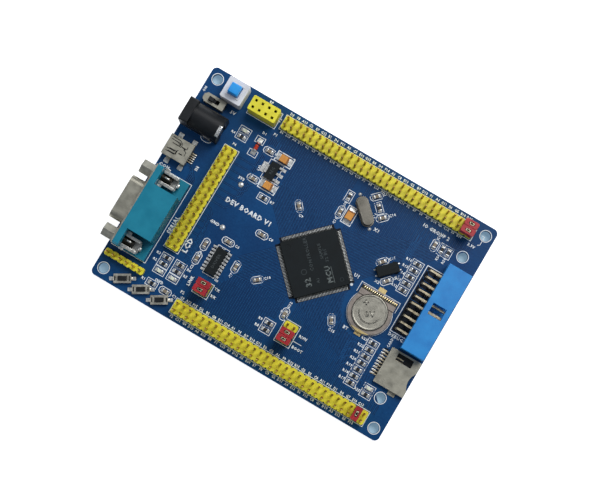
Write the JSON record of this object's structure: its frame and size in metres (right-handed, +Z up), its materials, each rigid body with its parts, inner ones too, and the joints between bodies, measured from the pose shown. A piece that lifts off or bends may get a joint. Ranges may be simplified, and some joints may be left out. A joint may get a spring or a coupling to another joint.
{
  "type": "microcontroller development board",
  "caption": "Blue development board with yellow pin headers, serial, USB, power, debug and memory-card sockets, switches, a coin cell and lift-off jumper caps.",
  "frame": {"origin": "centre of the four corner mounting holes, on the underside of the circuit board", "axes": "+X along the long edge towards the debug connector, +Y towards the edge with the power switch, +Z up out of the component side"},
  "size_m": [0.1173, 0.0838, 0.0155],
  "materials": {
    "solder_mask_blue": "satin blue solder mask on glass-fibre laminate",
    "header_yellow": "moulded yellow nylon",
    "gold_plate": "thin gold plating",
    "cap_red": "moulded red plastic with a folded metal link inside",
    "housing_white": "off-white plastic",
    "button_blue": "bright blue plastic",
    "tinned_metal": "tin plating",
    "shell_steel": "nickel-plated sheet",
    "black_plastic": "black plastic",
    "housing_teal": "teal plastic",
    "housing_blue": "bright blue plastic",
    "holder_metal": "dull warm grey metal",
    "cell_steel": "brushed stainless steel",
    "package_black": "black moulding compound",
    "tantalum_orange": "orange moulding compound",
    "can_metal": "plain metal can",
    "resistor_black": "black film between tinned ends",
    "capacitor_tan": "tan ceramic between tinned ends",
    "led_white": "clear and white resin",
    "diode_glass": "orange-red glass body"
  },
  "bodies": {
    "board": {"circuit_board": "solder_mask_blue", "top_header": "header_yellow", "bottom_header": "header_yellow", "display_header": "header_yellow", "programming_header": "header_yellow", "link_headers": "header_yellow", "radio_socket": "header_yellow", "top_header_pins": "gold_plate", "bottom_header_pins": "gold_plate", "display_header_pins": "gold_plate", "small_header_pins": "gold_plate", "radio_socket_contacts": "gold_plate", "usb_contacts": "gold_plate", "serial_contacts": "gold_plate", "debug_pins": "gold_plate", "card_socket_contacts": "gold_plate", "power_switch_housing": "housing_white", "power_switch_pins": "tinned_metal", "slide_switch_cover": "shell_steel", "slide_switch_base": "black_plastic", "power_jack_housing": "black_plastic", "power_jack_contacts": "tinned_metal", "usb_shell": "shell_steel", "usb_insert": "black_plastic", "serial_housing": "housing_teal", "serial_shell": "shell_steel", "serial_jackscrews": "shell_steel", "serial_board_locks": "tinned_metal", "debug_housing": "housing_blue", "card_socket_shell": "shell_steel", "card_socket_base": "black_plastic", "battery_holder": "holder_metal", "controller_package": "package_black", "controller_leads": "tinned_metal", "transceiver_package": "package_black", "transceiver_leads": "tinned_metal", "regulator_package": "package_black", "regulator_leads": "tinned_metal", "tantalum_capacitors": "tantalum_orange", "main_crystal": "can_metal", "clock_crystal": "package_black", "chip_resistors": "resistor_black", "chip_capacitors": "capacitor_tan", "indicator_leds": "led_white", "protection_diode": "diode_glass", "push_switch_frames": "shell_steel"},
    "power_button": {"power_switch_button": "button_blue"},
    "slide_knob": {"slide_switch_knob": "black_plastic"},
    "plunger_left": {"push_plunger_left": "black_plastic"},
    "plunger_middle": {"push_plunger_middle": "black_plastic"},
    "plunger_right": {"push_plunger_right": "black_plastic"},
    "cap_top_upper": {"top_jumper_upper": "cap_red"},
    "cap_top_lower": {"top_jumper_lower": "cap_red"},
    "cap_bottom": {"bottom_jumper": "cap_red"},
    "cap_serial_upper": {"serial_jumper_upper": "cap_red"},
    "cap_serial_lower": {"serial_jumper_lower": "cap_red"},
    "cap_boot_upper": {"boot_jumper_upper": "cap_red"},
    "cap_boot_lower": {"boot_jumper_lower": "cap_red"},
    "battery": {"coin_cell": "cell_steel"}
  },
  "joints": [
    {"name": "power_button_press", "type": "slide", "parent": "board", "child": "power_button", "axis": [0, 0, 1], "range_m": [-0.0015, 0], "stiffness_N_per_m": 600, "springref_m": 0.001},
    {"name": "slide_knob_slide", "type": "slide", "parent": "board", "child": "slide_knob", "axis": [1, 0, 0], "range_m": [0, 0.002]},
    {"name": "push_left_press", "type": "slide", "parent": "board", "child": "plunger_left", "axis": [0, 0, 1], "range_m": [-0.00025, 0], "stiffness_N_per_m": 4000, "springref_m": 0.0001},
    {"name": "push_middle_press", "type": "slide", "parent": "board", "child": "plunger_middle", "axis": [0, 0, 1], "range_m": [-0.00025, 0], "stiffness_N_per_m": 4000, "springref_m": 0.0001},
    {"name": "push_right_press", "type": "slide", "parent": "board", "child": "plunger_right", "axis": [0, 0, 1], "range_m": [-0.00025, 0], "stiffness_N_per_m": 4000, "springref_m": 0.0001},
    {"name": "cap_top_upper_lift", "type": "slide", "parent": "board", "child": "cap_top_upper", "axis": [0, 0, 1], "range_m": [0, 0.009]},
    {"name": "cap_top_lower_lift", "type": "slide", "parent": "board", "child": "cap_top_lower", "axis": [0, 0, 1], "range_m": [0, 0.009]},
    {"name": "cap_bottom_lift", "type": "slide", "parent": "board", "child": "cap_bottom", "axis": [0, 0, 1], "range_m": [0, 0.009]},
    {"name": "cap_serial_upper_lift", "type": "slide", "parent": "board", "child": "cap_serial_upper", "axis": [0, 0, 1], "range_m": [0, 0.009]},
    {"name": "cap_serial_lower_lift", "type": "slide", "parent": "board", "child": "cap_serial_lower", "axis": [0, 0, 1], "range_m": [0, 0.009]},
    {"name": "cap_boot_upper_lift", "type": "slide", "parent": "board", "child": "cap_boot_upper", "axis": [0, 0, 1], "range_m": [0, 0.009]},
    {"name": "cap_boot_lower_lift", "type": "slide", "parent": "board", "child": "cap_boot_lower", "axis": [0, 0, 1], "range_m": [0, 0.009]},
    {"name": "battery_lift", "type": "slide", "parent": "board", "child": "battery", "axis": [0, 0, 1], "range_m": [0, 0.006]}
  ]
}
